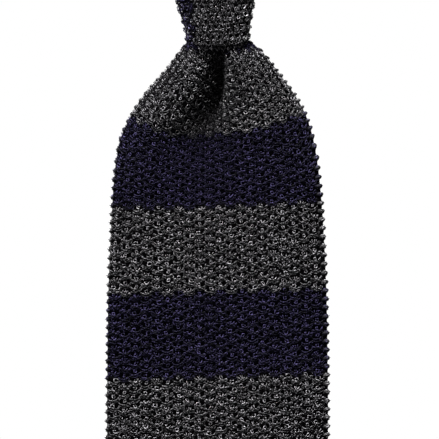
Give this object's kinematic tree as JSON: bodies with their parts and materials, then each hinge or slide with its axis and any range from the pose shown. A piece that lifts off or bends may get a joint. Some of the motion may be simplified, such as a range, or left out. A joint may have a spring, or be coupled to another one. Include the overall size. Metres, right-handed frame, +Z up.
{
  "type": "knit necktie",
  "caption": "Square-ended knitted silk necktie with wide cross stripes, tied in a narrow knot with a dimple, its wide end hanging in front of the narrow one.",
  "frame": {"origin": "inner face of the neck band in the middle of the back, where the tie sits on the neck", "axes": "+Z up along the hanging ends, +Y towards the wearer's back, so the front of the tie faces -Y"},
  "size_m": [0.1308, 0.1417, 0.569],
  "materials": {
    "charcoal_silk": "lustrous silk yarn in an open, pebbly knit",
    "navy_silk": "lustrous silk yarn in an open, pebbly knit"
  },
  "bodies": {
    "root": {"neck_band": "navy_silk", "knot_wrap": "charcoal_silk", "knot_passage": "charcoal_silk", "front_blade": "charcoal_silk", "tail_blade": "navy_silk"}
  },
  "joints": []
}
